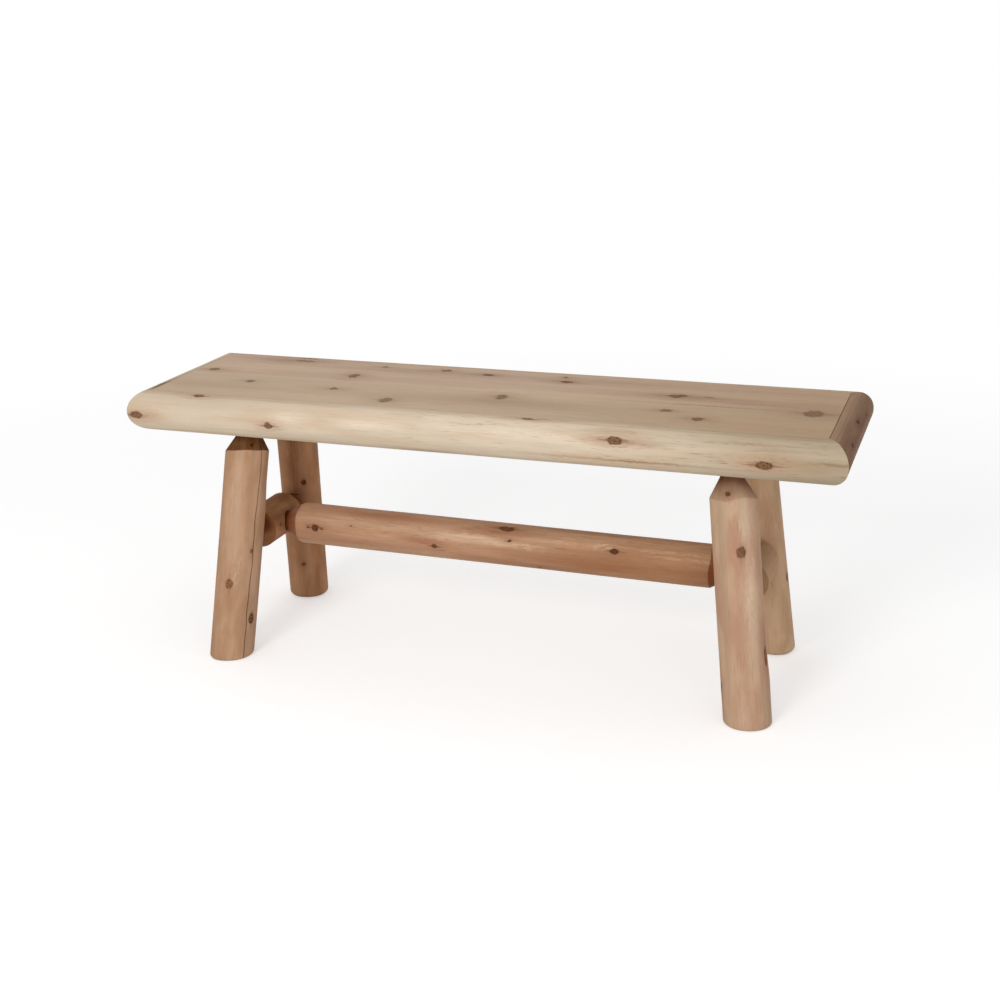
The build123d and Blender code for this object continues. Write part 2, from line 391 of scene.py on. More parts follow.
def cedarMaterial(name, look, knots=(), sheenFlames=(), tints=(), lights=(), marks=(), along=None, sawnFrom=None):
    # knots, sheenFlames, tints and lights are (centre, half width, half length, strength), in metres by the
    # grain; sheenFlames and lights are pale wood with painted sheen and painted light
    look = {**cedar, **look}
    material, tree = newMaterial(name)

    def paint(key):
        return srgb(*look[key])

    place = woodPlace(tree, sawnFrom)
    lengthwise = joinNode("SeparateXYZ", {0: place}).outputs["Z"]
    seed = look["seed"]
    shifted = vectors("ADD", place, (seed * 1.37, seed * 0.71, seed * 2.13))

    # knots, with a ragged outline
    ragged = place
    for kind, reach in (("outline", 0.0055), ("nicks", 0.0024)):
        ragged = vectors("ADD", ragged, drift(grainField(kind, shifted, "Color"), reach * look["knotWobble"]))
    state = chainKnots(ragged, knots)
    grain = vectors("ADD", shifted, state["Bend"]) if knots else shifted
    bent = vectors("ADD", place, state["Bend"]) if knots else place
    lateWood, yearTone = growthRings(look, bent, grain, lengthwise)

    # fibres: broad bands, streaks, fine streaks, thin lines and short dashes that run with the grain
    streak, fine, broad = (grainField(kind, grain) for kind in ("streak", "fine", "broad"))
    lineWave = maths("ABSOLUTE", centred(maths("FRACT", times(grainField("line", grain), 9.0))))
    lines = times(ranged(lineWave, 0.1, 0.0), ranged(streak, 0.46, 0.64))
    dashes = times(ranged(grainField("dash", grain), 0.63, 0.7), ranged(broad, 0.36, 0.6, 0.25, 1.0))
    if look["dashGrow"]:
        start, stop, least = look["dashGrow"]
        dashes = times(dashes, ranged(lengthwise, start, stop, least, 1.0))

    # colour: pale and warm wood in long soft bands, with a cooler one across them
    patch = noise(grain, look["patchSize"], 2.5, 0.55)
    turn = 0.5 + 0.3 * (0.5 - look["patch"])
    colour = blended(ranged(patch, turn - 0.13, turn + 0.13), paint("pale"), paint("warm"))
    coolField = grainField("cool", vectors("ADD", grain, (3.1, 7.7, 1.3)))
    colour = blended(times(ranged(coolField, 0.48, 0.66), look["coolShare"]), colour, paint("cool"))
    if look["sawnColour"]:
        upward = vectors("DOT_PRODUCT", geometry(tree, "True Normal"), (0.0, 0.0, 1.0))
        colour = blended(ranged(upward, 0.925, 0.965), colour, paint("sawnColour"))
    fleck = ranged(grainField("fleck", grain), look["fleckLevel"], look["fleckLevel"] + 0.12)
    colour = blended(times(fleck, look["fleckStrength"]), colour, paint("tintColour"))
    if tints:
        tint = times(chainKnots(ragged, tints)["Halo"], ranged(streak, 0.3, 0.62, 0.5, 1.0))
        colour = blended(tint, colour, paint("tintColour"))
    # lights: pale wood with painted light and painted highlight
    if lights:
        light = times(chainKnots(ragged, lights)["Halo"], ranged(streak, 0.3, 0.6, 0.55, 0.85))
        colour = blended(light, colour, paint("paleAndLitColour"))
    if look["fade"]:
        start, stop, *farTone = look["fade"]
        colour = blended(ranged(lengthwise, start, stop), colour, vectors("MULTIPLY", colour, farTone))

    tone = 1.0 + 0.3 * look["ringStrength"]
    for field, strength in ((streak, 1.5), (fine, 0.9), (broad, 0.7)):
        tone = timesPlus(centred(field), look["streakStrength"] * strength, tone)
    tone = timesPlus(centred(yearTone), look["ringStrength"] * 1.5, tone)
    tone = timesPlus(lateWood, -look["ringStrength"], tone)
    tone = timesPlus(lines, -look["lineStrength"], tone)
    height = timesPlus(streak, 0.5, times(fine, 0.3))
    height = timesPlus(dashes, -0.35, height)

    if knots:                    # warm and dark wood round the knots
        halo = times(state["Halo"], look["haloStrength"], clamp=True)
        colour = blended(times(halo, ranged(broad, 0.3, 0.6, 0.5, 1.0)), colour, paint("haloColour"))
        dim = times(maths("POWER", state["Halo"], 1.3), ranged(streak, 0.5, 0.68, 0.0, 0.5))
        most = look["tailStrength"]
        tail = times(state["Tail"], ranged(streak, 0.32, 0.52, most * 0.25, most))
        colour = blended(maths("MAXIMUM", dim, tail), colour, paint("deep"))
        dashes = times(dashes, timesPlus(state["Halo"], 1.5, 1.0))
    colour = blended(times(dashes, look["dashStrength"], clamp=True), colour, paint("deep"))
    colour = scaled(colour, tone)

    if sheenFlames:                   # pale curly grain with painted sheen, drawn out like brush strokes
        swirl = drift(grainField("swirl", shifted, "Color"), 0.012)
        stroke = grainField("stroke", vectors("ADD", shifted, swirl))
        sheenFlame = times(chainKnots(ragged, sheenFlames)["Halo"], ranged(stroke, 0.4, 0.62, 0.2, 1.0), clamp=True)
        colour = blended(times(sheenFlame, 0.75), colour, paint("paleAndLitColour"))

    if knots:                    # the knots' own wood, with a rim and a check in the middle
        nearest = state["Nearest"]
        rim = times(ranged(nearest, 0.45, 0.85), ranged(nearest, 1.3, 1.0))
        check = ranged(nearest, 0.5, 0.1)
        rimShare = maths("MAXIMUM", times(rim, 0.65), times(check, 0.4))
        mottle = centred(grainField("mottle", shifted))
        rimShare = timesPlus(mottle, look["knotSpeckle"], rimShare, clamp=True)
        redder = times(ranged(grainField("hue", shifted), 0.46, 0.58), look["knotRed"])
        redWood = [level * share for level, share in zip(paint("knotColour"), (1.12, 0.9, 0.84, 1.0))]
        knotWood = blended(redder, paint("knotColour"), redWood)
        knotWood = blended(rimShare, knotWood, paint("knotRim"))
        colour = blended(state["Core"], colour, knotWood)
        height = timesPlus(state["Core"], maths("SUBTRACT", 0.3, rimShare), height)

    # the cut mark also carries painted shade: above 1 it darkens the cut wood close to the joint
    if "cut" in marks:
        cutMark = meshMark(tree, "cut")
        cutShare = times(cutMark, ranged(broad, 0.3, 0.65, 0.85, 1.0), clamp=True)
        cutWood = scaled(paint("cutColour")[:3], tone)
        paintedShadeWood = vectors("MULTIPLY", cutWood, look["paintedShadeTone"])
        cutWood = blended(ranged(cutMark, 1.02, 1.45), cutWood, paintedShadeWood)   # painted shade close to the joint
        colour = blended(cutShare, colour, cutWood)
        if knots:
            colour = blended(times(state["Core"], cutShare), colour, paint("knotRim"))
    if along is not None:        # end grain is darker
        facing = vectors("DOT_PRODUCT", geometry(tree, "True Normal"), along)
        endGrain = ranged(maths("ABSOLUTE", facing), 0.75, 0.95)
        colour = blended(endGrain, colour, scaled(colour, look["endTone"]))
    if "split" in marks:
        colour = blended(ranged(meshMark(tree, "split"), 0.05, 0.6), colour, paint("splitColour"))

    rough = timesPlus(centred(broad), 0.22, look["roughness"])
    bump = joinNode("Bump", {"Strength": look["bump"], "Distance": 0.0006, "Height": height})
    dressShader(tree, colour, rough, bump)["Specular IOR Level"].default_value = look["gloss"]
    return material


def dressShader(tree, colour, rough, bump):
    inputs = tree.nodes["Principled BSDF"].inputs
    tree.links.new(colour, inputs["Base Color"])
    tree.links.new(rough, inputs["Roughness"])
    tree.links.new(bump.outputs["Normal"], inputs["Normal"])
    return inputs


coneRise = math.tan(math.radians(bench["taperAngle"]))


def barkSurface(log):
    # the peeled log's radius at any angle (degrees) and distance along (mm)
    slow = gentleWaves(log["seed"], 260, 900, turns=3)
    quick = gentleWaves(log["seed"] + 50, 70, 260, turns=9)

    def radius(angle, along):
        size = log["radius"] - log["sway"] * slow(angle, along) - log["ripple"] * quick(angle, along)
        for middle, halfWidth, depth, low, high in log.get("flats", ()):
            near = np.clip(np.abs(turnBetween(angle, middle)) / halfWidth, 0, 1)
            bump = np.cos(near * math.pi / 2) ** 2
            stretch = smoothStep(low - 70, low, along) * (1 - smoothStep(high, high + 70, along))
            size = size - depth * bump * stretch
        return size

    return radius


def cutterOffset(log, angle):
    # the tenon cutter never ran quite true: how far its cone stands out at each angle
    listed = log.get("cutter", ((0, 0.0),))
    return np.interp(angle, [a for a, out in listed], [out for a, out in listed], period=360)


def coneEdge(log, radius, angle, shoulder, towards):
    # where the tenon cutter's cone leaves the log's surface
    offset = cutterOffset(log, angle) if towards > 0 else 0.0
    along = shoulder - towards * (bench["railRadius"] - bench["tenonRadius"]) / coneRise
    for step in range(8):
        along = shoulder - towards * (radius(angle, along) - bench["tenonRadius"] - offset) / coneRise
    return along


def rubbedAway(log, distance):
    # how much the edge between cone and log is rounded off, by distance from it
    depth, reach = log.get("rubbed", (0.0, 1.0))
    return depth * np.clip(1 - np.abs(distance) / reach, 0, 1) ** 2


def columnsOf(log):
    # column offsets in degrees, with close columns where the log has split
    around = fineness["around"]
    if "split" not in log:
        return np.arange(around) * 360 / around, np.zeros(around)
    gap = math.degrees(log["split"]["width"] / 2 / log["radius"])
    near = np.array([0.22, 1.0, 2.4]) * gap
    half = np.concatenate([near, np.linspace(near[-1] + 360 / around, 180, around // 2)])
    offsets = np.concatenate([-half[:-1][::-1], [0.0], half])
    depth = np.zeros(len(offsets))
    middle = len(half) - 1
    depth[middle] = 1.0
    depth[[middle - 1, middle + 1]] = 0.6
    return offsets, depth


def logLoops(log, origin, axes, low, high):
    # loops up a log from its foot, or from its lower tenon, to its upper tenon
    face, quarter, along = axes
    radius = barkSurface(log)
    offsets, groove = columnsOf(log)
    split = log.get("split")
    tenon, ease = bench["tenonRadius"], bench["tenonEase"]
    foot = low is None
    loops, cut = [], []

    def anglesAt(level):
        if not split:
            return offsets
        wander = 0.9 * math.sin(level / 23.0) + 0.6 * math.sin(level / 8.7 + 1)
        return offsets + np.interp(level, split["along"], split["angle"]) + wander

    def addLoop(angle, size, level, cutShare):
        turn = np.radians(angle)
        loops.append(origin + np.outer(size * np.cos(turn), face) + np.outer(size * np.sin(turn), quarter)
                     + np.outer(level, along))
        cut.append(cutShare)

    def addRing(angle, size, level, cutShare):
        addLoop(angle, np.full(len(angle), size), np.full(len(angle), level), cutShare)

    def body(angle, level, inset=0.0):
        size = radius(angle, level) - inset
        if split:
            start = split["along"][0]
            size = size - split["depth"] * groove * smoothStep(start, start + 25, level)
        return size

    if foot:
        angle = anglesAt(0.0)
        ground = np.zeros(len(angle))
        lean = (face[2] * np.cos(np.radians(angle)) + quarter[2] * np.sin(np.radians(angle))) / along[2]
        rounding = log["footRounding"]
        for step in range(fineness["footSteps"] + 1):
            swing = math.radians(90 * step / fineness["footSteps"])
            size = body(angle, ground, rounding * (1 - math.sin(swing)))
            addLoop(angle, size, rounding * (1 - math.cos(swing)) - lean * size, 0.0)
        start = rounding - lean * body(angle, ground)
    else:
        tip, shoulder = low
        angle = anglesAt(tip)
        start = coneEdge(log, radius, angle, shoulder, -1)
        # the bare tenon gets a mark above 1, so it is given painted shade
        for level, size in ((tip, tenon - ease), (tip + ease, tenon)):
            addRing(angle, size, level, 1.3)
        # painted shade on the cone: darker close to the shoulder where it meets its mate, and along the top
        # where the socket's shadow falls
        shaded = np.clip(np.cos(np.radians(angle - 75)) * 1.6, 0, 1) * log.get("shadedTop", 0.0)
        for share in np.concatenate([np.linspace(0, 1, 9)[:-1], [0.93, 0.965, 0.985]]):
            level = shoulder + (start - shoulder) * share
            size = tenon + (level - shoulder) * coneRise - rubbedAway(log, start - level)
            paintedShade = np.maximum(0.5 * max(1 - share * 2.6, 0), shaded * (1 - share ** 4))
            addLoop(angle, size, level, 1 - (1 - log.get("cutLow", 0.9)) * share + paintedShade)
    tip, shoulder = high
    finish = coneEdge(log, radius, anglesAt(shoulder - 30), shoulder, 1)
    steps = int((finish.mean() - start.mean()) / fineness["spacing"])
    # close loops at both ends keep the edges crisp
    ends = np.array([0.7, 2.0]) / 400
    for share in np.concatenate([[0.0], ends, np.linspace(0, 1, steps)[1:-1], [1 - ends[0], 1.0]]):
        level = start + (finish - start) * share
        angle = anglesAt(float(level.mean()))
        softened = 0.18 if share in (0.0, 1.0) and not (foot and share == 0.0) else 0.0
        if not foot:
            softened = np.maximum(rubbedAway(log, level - start), softened)
        addLoop(angle, body(angle, level, softened), level, 0.0)
    angle = anglesAt(float(finish.mean()))
    offset = cutterOffset(log, angle)
    last = shoulder + max(offset.max(), 0) / coneRise
    opening = split["depth"] * 0.7 * groove if split else 0.0
    for share in np.concatenate([[0.015], np.linspace(0, 1, fineness["coneSteps"])[1:]]):
        level = finish + (last - finish) * share
        size = np.maximum(tenon + offset + (shoulder - level) * coneRise, tenon)
        addLoop(angle, size - opening, level, log.get("cutFrom", 0.8) * (1 - share) + share)
    addRing(angle, tenon, max(tip - ease, last + 1), 1.0)
    addRing(angle, tenon - ease, max(tip, last + 3), 1.0)
    marks = {"cut": np.array([np.ones(len(offsets)) * share for share in cut])}
    if split:
        marks["split"] = np.outer(np.ones(len(cut)), groove)
    return loops, marks


def placeKnots(log, kind, shoulder=None, crown=None):
    # (along mm, angle, half width mm, half length mm, strength) onto the log's surface
    radius = barkSurface(log)
    placed = []
    for along, angle, halfWidth, halfLength, strength in log.get(kind, ()):
        size = float(radius(np.array([angle]), np.array([along]))[0])
        if crown is not None and angle > 60:
            size = min(size, crown / math.sin(math.radians(angle)))
        if shoulder is not None:
            cone = bench["tenonRadius"] + float(cutterOffset(log, angle)) + (shoulder - along) * coneRise
            size = min(size, cone)
        turn = math.radians(angle)
        centre = (size * math.cos(turn) * mm, size * math.sin(turn) * mm, along * mm)
        placed.append((centre, halfWidth * mm, halfLength * mm, strength))
    return placed


def makeLog(name, log, origin, axes, low, high):
    loops, marks = logLoops(log, origin, axes, low, high)
    piece = skin(name + "_log", loops, origin, axes, marks)
    placed = [placeKnots(log, kind, high[1] if low is None else None) for kind in surfaceMarks]
    wood = cedarMaterial(name + "_cedar", log["look"], *placed, marks=marks, along=axes[2])
    return finishPiece(piece, name, wood)


# On every log: knots, sheenFlames, lights and tints are (along, angle, half width, half length, strength),
# flats are (angle, half width, depth, from, to) and the cutter is (angle, how far its cone stands out).
# sheenFlames and lights are pale wood with painted sheen and painted light.
# Legs: angles run from the front (0) towards the bench's right (90), distances from the foot
legLook = {
    "patchSize": (30, 30, 12), "streakStrength": 0.15, "dashStrength": 0.26, "tailStrength": 0.35,
    "haloStrength": 0.45,
}
legs = {
    "front_left_leg": {
        "foot": (-458, -151.3), "radius": 38, "seed": 11, "sway": 0.5, "ripple": 0.35, "footRounding": 4,
        "cutFrom": 0.92, "flats": [(20, 62, 3.5, 230, 420), (22, 55, 2, 0, 200), (121, 60, -2, 0, 260)],
        "cutter": ((-120, 0), (-60, 2.1), (-30, 4), (0, 3.7), (15, 3.6), (45, 5.7), (75, 7.8), (105, 6.4),
            (135, 4), (180, 1)),
        "split": {"along": (-8, 80, 183, 248, 336, 352, 400),
            "angle": (62.2, 62.8, 66.8, 66.9, 70.3, 71, 71), "width": 2.5, "depth": 7},
        "knots": [(137.4, 5.6, 7, 8.5, 0.8), (74.5, 77.6, 7, 10, 1), (193.5, -56.9, 3, 4.5, 0.8),
            (199.5, 61.9, 3, 4, 0.8), (387.1, 41.2, 3.2, 3.6, 1)],
        "sheenFlames": [(160, 22, 3, 6, 0.5), (172, 30, 3, 5, 0.4)],
        "lights": [(70, 84, 5, 30, 0.35), (330, 6, 4, 40, 0.2)],
        "tints": [(250, 48, 5, 40, 0.35), (320, -20, 5, 30, 0.25), (60, -30, 12, 60, 0.4),
            (112, 6, 5, 8, 0.5), (340, 38, 5, 26, 0.4)],
        # the dark cut colour on the taper is partly the cut wood and partly painted shade under the seat
        "look": {**legLook, "pale": (200, 160, 130), "warm": (184, 144, 112), "cool": (180, 145, 116),
            "seed": 1.3, "tintColour": (160, 116, 84), "cutColour": (98, 57, 21), "knotRim": (66, 38, 22),
            "gloss": 0.02},
    },
    "front_right_leg": {
        "foot": (470, -144), "radius": 38, "seed": 23, "sway": 0.5, "ripple": 0.4, "footRounding": 4,
        "flats": [(38, 44, 2.5, 240, 420), (10, 60, 2, 0, 220), (99, 60, -2.4, 0, 60)],
        "cutter": ((-120, -1), (-60, 0.3), (-30, -0.5), (-8, -1.6), (15, -1.2), (45, -2.1), (75, -1.7),
            (105, -3), (150, -2)),
        "cutFrom": 0.15,
        "knots": [(282.5, 22.8, 7.5, 9, 0.95), (110.4, 80.5, 6, 16, 1), (60.8, -66.5, 5, 10, 0.9),
            (373.8, -4.4, 3.8, 4, 1)],
        "sheenFlames": [(324.1, 30, 3.6, 6, 0.9), (200, 38, 4, 14, 0.5), (262, 52, 2.5, 5, 0.4)],
        "tints": [(240, 30, 6, 12, 0.4), (262, 50, 5, 8, 0.4), (300, 68, 4, 20, 0.35),
            (150, -4, 12, 30, 0.45), (100, 30, 14, 40, 0.3), (200, 20, 10, 30, 0.3),
            (40, 10, 10, 16, 0.25)],
        "lights": [(210, 40, 5, 30, 0.35), (330, 40, 5, 20, 0.35), (20, 6, 5, 8, 0.3)],
        # the dark cut colour on the taper is partly the cut wood and partly painted shade under the seat
        "look": {**legLook, "pale": (203, 170, 140), "warm": (190, 151, 123), "cool": (176, 152, 124),
            "seed": 2.6, "coolShare": 0.6, "haloColour": (186, 130, 104), "haloStrength": 0.8,
            "tintColour": (182, 136, 110), "cutColour": (103, 58, 32), "knotRim": (98, 64, 42)},
    },
    "back_left_leg": {
        "foot": (-453, 151.3), "radius": 37.6, "seed": 31, "sway": 0.6, "ripple": 0.35, "footRounding": 9,
        "flats": [(20, 50, 2, 0, 300)],
        # the third knot, at 238.4 along and angle 7, is a painted shadow: a thin dark crescent where the left
        # end stretcher's cone meets the leg
        "knots": [(264.1, 37.4, 5, 6, 1), (85.1, 17.2, 4.4, 4.6, 0.75), (238.4, 7, 9, 1.3, 1)],
        "tints": [(330, 12, 6, 44, 0.8), (240, 8, 5, 30, 0.6), (130, 12, 5, 36, 0.35),
            (40, 60, 4, 20, 0.5)],
        "look": {**legLook, "pale": (191, 142, 106), "warm": (173, 125, 89), "cool": (169, 130, 100),
            "seed": 3.9, "gloss": 0.06, "tintColour": (128, 84, 54), "haloColour": (150, 102, 70),
            "knotColour": (104, 62, 36), "knotRim": (60, 33, 18)},
    },
    "back_right_leg": {
        "foot": (465, 146), "radius": 38, "seed": 43, "sway": 0.5, "ripple": 0.4, "footRounding": 10,
        "flats": [(0, 50, 2, 0, 300)], "knots": [(148.3, 81.9, 4, 9, 1)], "tints": [(230, 60, 10, 30, 0.2)],
        # its colours are lightened as painted light, to offset the shade it stands in
        "look": {**legLook, "pale": (214, 178, 142), "warm": (199, 160, 126), "cool": (190, 158, 128),
            "seed": 5.2},
    },
}


def legEnds(name):
    foot = np.array([*legs[name]["foot"], 0.0])
    head = np.array([bench["headX"], bench["headY"], 0.0]) * np.sign(foot)
    return foot, head + zAxis * bench["bearerUnderside"]


for name, leg in legs.items():
    foot, head = legEnds(name)
    reach = float(np.linalg.norm(head - foot))
    tenonEnds = (reach + bench["tenonInBearer"], reach - bench["tenonShow"])
    makeLog(name, leg, foot, logAxes(foot, head, -yAxis), None, tenonEnds)
print("legs made")

# Stretchers: angles run from the face (0) upwards (90), distances from the middle
endStretchers = {
    "left": {
        "height": 206, "radius": 36.5, "seed": 57, "sway": 0.6, "ripple": 0.35, "backGap": 5,
        # shadedTop paints shade along the top of the front cone, where the front leg's socket shades it
        "knots": [(-33.8, 8, 3, 4, 0.45)], "shadedTop": 0.55,
        "lights": [(-70, 2, 6, 14, 0.5), (10, 52, 5, 20, 0.4), (44, 48, 6, 10, 0.5), (-30, 70, 4, 16, 0.3)],
        "tints": [(-22, 36, 5, 9, 0.6), (-20, 60, 4, 6, 0.4), (24, 60, 6, 7, 0.6)],
        "look": {"pale": (188, 138, 98), "warm": (166, 114, 76), "cool": (160, 120, 86), "seed": 6.1,
            "cutColour": (142, 92, 56), "tintColour": (112, 72, 46), "patch": 0.6, "gloss": 0.05,
            "bump": 0.6, "patchSize": (40, 40, 20), "paleAndLitColour": (206, 162, 120),
            "knotColour": (96, 58, 32), "knotRim": (60, 32, 16)},
    },
    "right": {
        "height": 202, "radius": 36.5, "seed": 68, "sway": 0.6, "ripple": 0.35, "backGap": 0,
        "knots": [(-40, 5, 2.5, 3, 0.9)],
        "look": {"pale": (192, 152, 114), "warm": (174, 135, 100), "cool": (170, 138, 106), "seed": 7.7,
            "cutColour": (156, 116, 82), "gloss": 0.05},
    },
}


def pointOnLeg(name, height):
    foot, head = legEnds(name)
    return foot + (head - foot) * height / bench["bearerUnderside"]


def makeStretcher(name, stretcher, axes, start, end, mateRadius):
    # both coned shoulders bed into the logs they meet
    shoulder = float(np.linalg.norm(end - start)) / 2 - (mateRadius - bench["shoulderSink"])
    farShoulder = shoulder - stretcher.get("backGap", 0.0)
    tip = shoulder + bench["tenonInLog"]
    middle = (start + end) / 2
    makeLog(name, stretcher, middle, axes, (-tip, -shoulder), (tip, farShoulder))


endMiddle = {}
for side, stretcher in endStretchers.items():
    front, back = (pointOnLeg(f"{end}_{side}_leg", stretcher["height"]) for end in ("front", "back"))
    endMiddle[side] = (front + back) / 2
    along = unit(back - front)
    inward = xAxis if side == "left" else -xAxis
    inward = unit(inward - along * (inward @ along))
    axes = (inward, zAxis - along * along[2], along)
    makeStretcher(f"{side}_end_stretcher", stretcher, axes, front, back, bench["legRadius"])

longStretcher = {
    "radius": 37.3, "seed": 71, "sway": 0.6, "ripple": 0.4, "rubbed": (0.8, 6.5), "cutLow": 0.75,
    "flats": [(40, 40, 1.2, -400, 400)],
    "knots": [(-336.7, 9.6, 6, 7, 1), (-350, 9, 1.6, 3.4, 0.8), (-324, 8, 1.4, 2.4, 0.8),
        (-267, 25.1, 1.8, 2.6, 0.8), (-106.3, -6.3, 4.5, 5.5, 0.8), (20.8, 66.5, 6, 14, 0.8),
        (30.9, 30.8, 2.6, 4, 0.9), (216, 31.9, 5, 7, 1), (83.9, -45.2, 2.6, 4, 0.7)],
    "sheenFlames": [(12, 20, 2.2, 9, 0.6), (194, 44, 3, 6, 1), (58, 20, 2.2, 8, 0.8), (118, 42, 2, 10, 0.4),
        (290, 44, 1.6, 30, 0.5), (340, 30, 1.4, 18, 0.4)],
    # the lights at angles 68 and 70 are painted light along the upper side
    "lights": [(-84, 26, 4, 18, 0.7), (-34, 28, 3.4, 20, 0.8), (80, 40, 3, 24, 0.3),
        (300, 42, 4, 30, 0.2), (190, 68, 6, 50, 0.6), (320, 70, 6, 50, 0.7), (-280, 34, 4, 30, 0.35),
        (-190, 34, 4, 36, 0.35)],
    "tints": [(-130, 10, 5, 12, 0.7), (0, 50, 6, 18, 0.6), (-220, 66, 5, 40, 0.6), (-320, 66, 5, 20, 0.4),
        (-300, -22, 7, 40, 0.5), (-180, -18, 6, 40, 0.4), (20, -30, 6, 40, 0.4), (170, -10, 7, 60, 0.4),
        (320, -16, 7, 50, 0.35)],
    "look": {"pale": (209, 166, 134), "warm": (190, 144, 112), "cool": (184, 146, 117), "patch": 0.5,
        "seed": 8.4, "roughness": 0.5, "tintColour": (154, 98, 70), "haloColour": (164, 114, 84),
        "cutColour": (132, 74, 37), "dashStrength": 0.6, "knotColour": (108, 68, 44),
        "knotRim": (62, 34, 20), "paleAndLitColour": (234, 204, 174), "fade": (-0.12, 0.3, 0.775, 0.68, 0.585),
        "streakStrength": 0.28, "gloss": 0.06},
}
along = unit(endMiddle["right"] - endMiddle["left"])
face = unit(along * along[1] - yAxis)
upward = np.cross(face, along)
axes = (face, unit(upward * math.copysign(1, upward[2])), along)
endRadius = endStretchers["left"]["radius"]
makeStretcher("long_stretcher", longStretcher, axes, endMiddle["left"], endMiddle["right"], endRadius)
print("stretchers made")

# Rails: angles run from outward (0) up (90); distances run along +X or +Y from the middle
rails = {
    "front_rail": {
        "outward": (0, -1, 0), "radius": 37.3, "seed": 81, "sway": 0.55, "ripple": 0.3,
        "knots": [(-591.7, -5.8, 7, 12, 0.9), (-476.9, 63.7, 4.6, 10, 0.9), (-337.6, -7.2, 6, 8, 0.9),
            (109.7, 67.9, 2.6, 12, 0.8), (256.9, 24, 6.5, 11.5, 1), (486.5, -8.5, 7.5, 13, 1)],
        "sheenFlames": [(95, 24, 4, 14, 0.8), (160, 22, 3, 12, 0.6)],
        "lights": [(-302, 14, 6, 10, 0.8), (-150, 16, 5, 16, 0.7), (-20, 30, 4, 40, 0.3),
            (-110, 50, 8, 40, 0.4), (205, 8, 5, 34, 0.5), (540, 34, 6, 20, 0.35)],
        "tints": [(540, 0, 8, 24, 0.2), (286, -27, 1.2, 36, 0.85), (-60, -58, 4, 12, 0.5),
            (230, 22, 2.6, 9, 0.6), (286, 25, 3.6, 7, 0.6), (306, 20, 2.6, 8, 0.6),
            (252, 46, 4, 12, 0.35), (514, 2, 4, 12, 0.35), (470, 40, 1.6, 14, 0.6),
            (514, 30, 1.6, 12, 0.5), (588, 6, 1.6, 12, 0.7), (560, 44, 1.6, 8, 0.4),
            (-480, 50, 12, 70, 0.2)],
        "look": {"pale": (221, 202, 178), "warm": (213, 188, 159), "cool": (206, 190, 167), "patch": 0.36,
            "haloColour": (196, 160, 132), "haloStrength": 0.75, "tintColour": (158, 126, 96),
            "sawnColour": (205, 181, 154), "paleAndLitColour": (240, 222, 202), "deep": (120, 84, 56),
            "fade": (0.2, 0.62, 0.68, 0.67, 0.62), "seed": 9.1, "fleckStrength": 0.22,
            "streakStrength": 0.15, "dashGrow": (-0.4, 0.12, 0.3), "knotRed": 0.45,
            "knotColour": (132, 99, 70), "knotRim": (84, 56, 36), "dashStrength": 0.42,
            "tailStrength": 0.65},
    },
    "back_rail": {
        "outward": (0, 1, 0), "radius": 37.3, "seed": 92, "sway": 0.55, "ripple": 0.3,
        "knots": [(-410.5, 84, 2.5, 14, 0.7), (-210, 12, 5, 8, 0.9), (170, 5, 6, 9, 1),
            (420, 30, 4, 6, 0.9)],
        "tints": [(-300, 20, 8, 20, 0.4), (60, -20, 8, 24, 0.4)],
        "look": {"pale": (212, 188, 160), "warm": (198, 166, 136), "cool": (196, 176, 150),
            "sawnColour": (194, 166, 140), "seed": 10.7},
    },
    "left_end_rail": {
        "outward": (-1, 0, 0), "radius": 37.3, "seed": 103, "sway": 0.5, "ripple": 0.3,
        "knots": [(40, 10, 5, 7, 0.9), (-100, -20, 4, 6, 0.9), (-108, 80, 7, 22, 0.6)],
        "look": {"pale": (206, 180, 150), "warm": (190, 156, 126), "cool": (188, 164, 136),
            "sawnColour": (207, 182, 155), "knotColour": (118, 102, 78), "knotRim": (94, 80, 58),
            "knotRed": 0.2, "seed": 12.2},
    },
    "right_end_rail": {
        "outward": (1, 0, 0), "radius": 37.3, "seed": 114, "sway": 0.5, "ripple": 0.3,
        "knots": [(82, 21.4, 2.4, 4, 1), (2.3, 37.5, 3.4, 8, 1), (-102.8, 24.9, 3.6, 9, 1)],
        "lights": [(-20, 44, 6, 24, 0.3), (100, 66, 9, 60, 0.9), (0, 70, 8, 60, 0.6),
            (-110, 70, 8, 60, 0.6)],
        "tints": [(-60, 56, 4, 16, 0.7), (60, 50, 5, 20, 0.6), (30, 22, 3, 16, 0.7),
            (-70, 20, 3, 20, 0.7), (-120, 44, 4, 14, 0.5)],
        # its colours are darker than the other rails' as painted shade; its sawn top keeps a lighter colour
        "look": {"pale": (143, 107, 80), "warm": (132, 93, 67), "cool": (128, 102, 76),
            "sawnColour": (170, 136, 110), "tintColour": (88, 54, 38), "haloColour": (100, 64, 46),
            "knotColour": (78, 40, 24), "gloss": 0.04, "knotRim": (58, 26, 14),
            "paleAndLitColour": (164, 132, 106), "fleckStrength": 0.5, "seed": 13.9},
    },
}
railMesh = {"around": 74, "topSteps": 7, "innerSteps": 16,
            "arrisReach": 3.2, "arrisDrop": 0.75, "arrisIn": 0.35}


